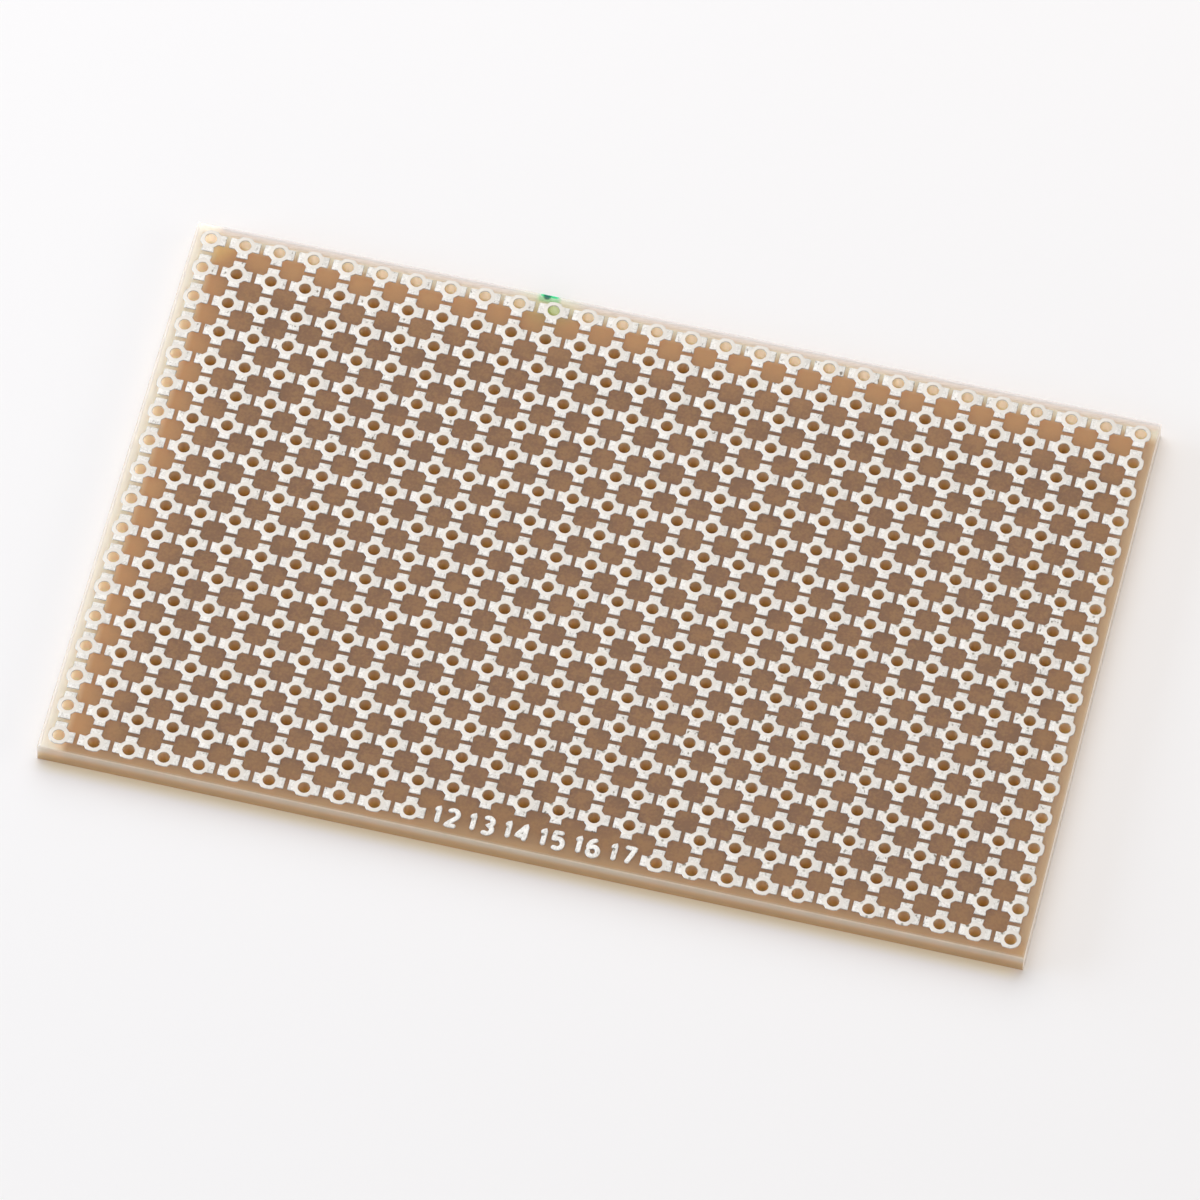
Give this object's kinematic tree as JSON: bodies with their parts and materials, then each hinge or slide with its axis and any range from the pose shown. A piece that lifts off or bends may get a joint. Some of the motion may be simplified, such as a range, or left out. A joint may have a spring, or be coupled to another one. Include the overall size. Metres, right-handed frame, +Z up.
{
  "type": "prototype board",
  "caption": "Thin rectangular prototype board of bare glass-epoxy laminate with a grid of lead holes, each ringed by a tinned cross-shaped land, and a bare place mid front row.",
  "frame": {"origin": "centre of the underside of the laminate", "axes": "+X along the rows of holes, the long way; +Y from the front row, which has the bare place, to the back row; +Z up out of the land side"},
  "size_m": [0.0712, 0.0458, 0.0017],
  "materials": {
    "laminate": "natural glass-epoxy laminate, brown and faintly translucent, satin top with the etched weave, sawn edges",
    "tinned_land": "copper with a levelled solder coat, bright grey-white and slightly domed"
  },
  "bodies": {
    "root": {"laminate": "laminate", "lands_row_01": "tinned_land", "lands_row_02": "tinned_land", "lands_row_03": "tinned_land", "lands_row_04": "tinned_land", "lands_row_05": "tinned_land", "lands_row_06": "tinned_land", "lands_row_07": "tinned_land", "lands_row_08": "tinned_land", "lands_row_09": "tinned_land", "lands_row_10": "tinned_land", "lands_row_11": "tinned_land", "lands_row_12": "tinned_land", "lands_row_13": "tinned_land", "lands_row_14": "tinned_land", "lands_row_15": "tinned_land", "lands_row_16": "tinned_land", "lands_row_17": "tinned_land", "lands_row_18": "tinned_land"}
  },
  "joints": []
}
